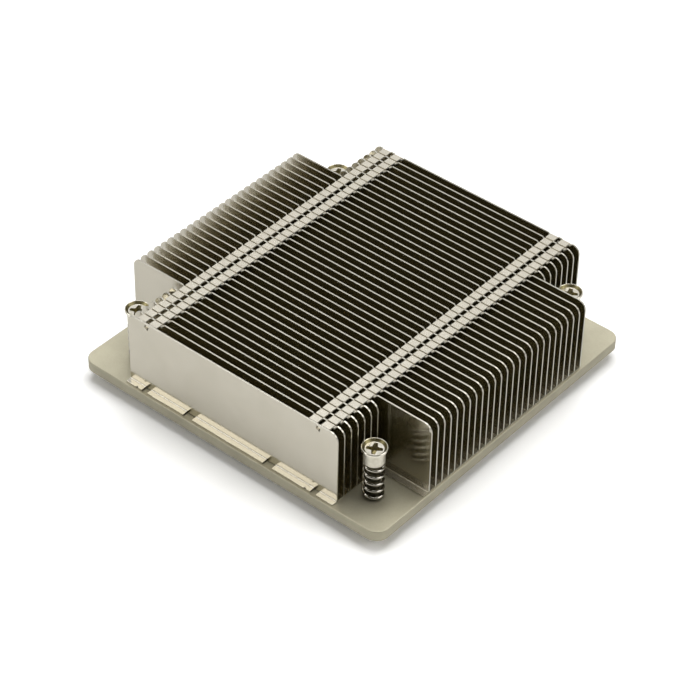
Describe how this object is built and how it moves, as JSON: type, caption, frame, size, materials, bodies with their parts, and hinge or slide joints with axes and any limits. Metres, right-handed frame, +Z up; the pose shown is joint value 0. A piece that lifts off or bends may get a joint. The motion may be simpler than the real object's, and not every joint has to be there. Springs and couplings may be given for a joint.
{
  "type": "passive server cpu heatsink",
  "caption": "Low passive processor heatsink: a square plate under a stack of interlocked sheet fins, with captive spring screws in its corner pockets.",
  "frame": {"origin": "centre of the plate's contact face, which lies against the processor", "axes": "+Z up from the contact face through the fins, +X along the fins, +Y across the fin stack from its front to its back"},
  "size_m": [0.095, 0.095, 0.027],
  "materials": {
    "plate": "matt nickel-plated, fine blasted grain",
    "fins": "bright nickel-plated sheet, near mirror",
    "screws": "bright zinc-nickel plated steel",
    "springs": "bright drawn spring wire",
    "clips": "stamped spring steel"
  },
  "bodies": {
    "heatsink": {"base_plate": "plate", "back_fin_01": "fins", "back_fin_02": "fins", "back_fin_03": "fins", "back_fin_04": "fins", "back_fin_05": "fins", "back_fin_06": "fins", "back_fin_07": "fins", "front_fin_01": "fins", "front_fin_02": "fins", "front_fin_03": "fins", "front_fin_04": "fins", "front_fin_05": "fins", "front_fin_06": "fins", "front_fin_07": "fins", "wide_fin_01": "fins", "wide_fin_02": "fins", "wide_fin_03": "fins", "wide_fin_04": "fins", "wide_fin_05": "fins", "wide_fin_06": "fins", "wide_fin_07": "fins", "wide_fin_08": "fins", "wide_fin_09": "fins", "wide_fin_10": "fins", "wide_fin_11": "fins", "wide_fin_12": "fins", "wide_fin_13": "fins", "wide_fin_14": "fins", "wide_fin_15": "fins", "wide_fin_16": "fins", "wide_fin_17": "fins", "wide_fin_18": "fins", "wide_fin_19": "fins", "wide_fin_20": "fins", "wide_fin_21": "fins", "wide_fin_22": "fins", "wide_fin_23": "fins", "wide_fin_24": "fins", "wide_fin_25": "fins", "wide_fin_26": "fins", "spring_front_left": "springs", "spring_front_right": "springs", "spring_back_left": "springs", "spring_back_right": "springs"},
    "clip_front_left": {"clip_front_left": "clips"},
    "screw_front_left": {"screw_front_left": "screws"},
    "clip_front_right": {"clip_front_right": "clips"},
    "screw_front_right": {"screw_front_right": "screws"},
    "clip_back_left": {"clip_back_left": "clips"},
    "screw_back_left": {"screw_back_left": "screws"},
    "clip_back_right": {"clip_back_right": "clips"},
    "screw_back_right": {"screw_back_right": "screws"}
  },
  "joints": [
    {"name": "front_left_screw_press", "type": "slide", "parent": "heatsink", "child": "clip_front_left", "axis": [0, 0, -1], "range_m": [0, 0.004], "stiffness_N_per_m": 1500, "deforming": ["spring_front_left"]},
    {"name": "front_left_screw_turn", "type": "hinge", "parent": "clip_front_left", "child": "screw_front_left", "pos_m": [-0.0375, -0.0375, 0], "axis": [0, 0, 1], "continuous": true},
    {"name": "front_right_screw_press", "type": "slide", "parent": "heatsink", "child": "clip_front_right", "axis": [0, 0, -1], "range_m": [0, 0.004], "stiffness_N_per_m": 1500, "deforming": ["spring_front_right"]},
    {"name": "front_right_screw_turn", "type": "hinge", "parent": "clip_front_right", "child": "screw_front_right", "pos_m": [0.0375, -0.0375, 0], "axis": [0, 0, 1], "continuous": true},
    {"name": "back_left_screw_press", "type": "slide", "parent": "heatsink", "child": "clip_back_left", "axis": [0, 0, -1], "range_m": [0, 0.004], "stiffness_N_per_m": 1500, "deforming": ["spring_back_left"]},
    {"name": "back_left_screw_turn", "type": "hinge", "parent": "clip_back_left", "child": "screw_back_left", "pos_m": [-0.0375, 0.0375, 0], "axis": [0, 0, 1], "continuous": true},
    {"name": "back_right_screw_press", "type": "slide", "parent": "heatsink", "child": "clip_back_right", "axis": [0, 0, -1], "range_m": [0, 0.004], "stiffness_N_per_m": 1500, "deforming": ["spring_back_right"]},
    {"name": "back_right_screw_turn", "type": "hinge", "parent": "clip_back_right", "child": "screw_back_right", "pos_m": [0.0375, 0.0375, 0], "axis": [0, 0, 1], "continuous": true}
  ]
}
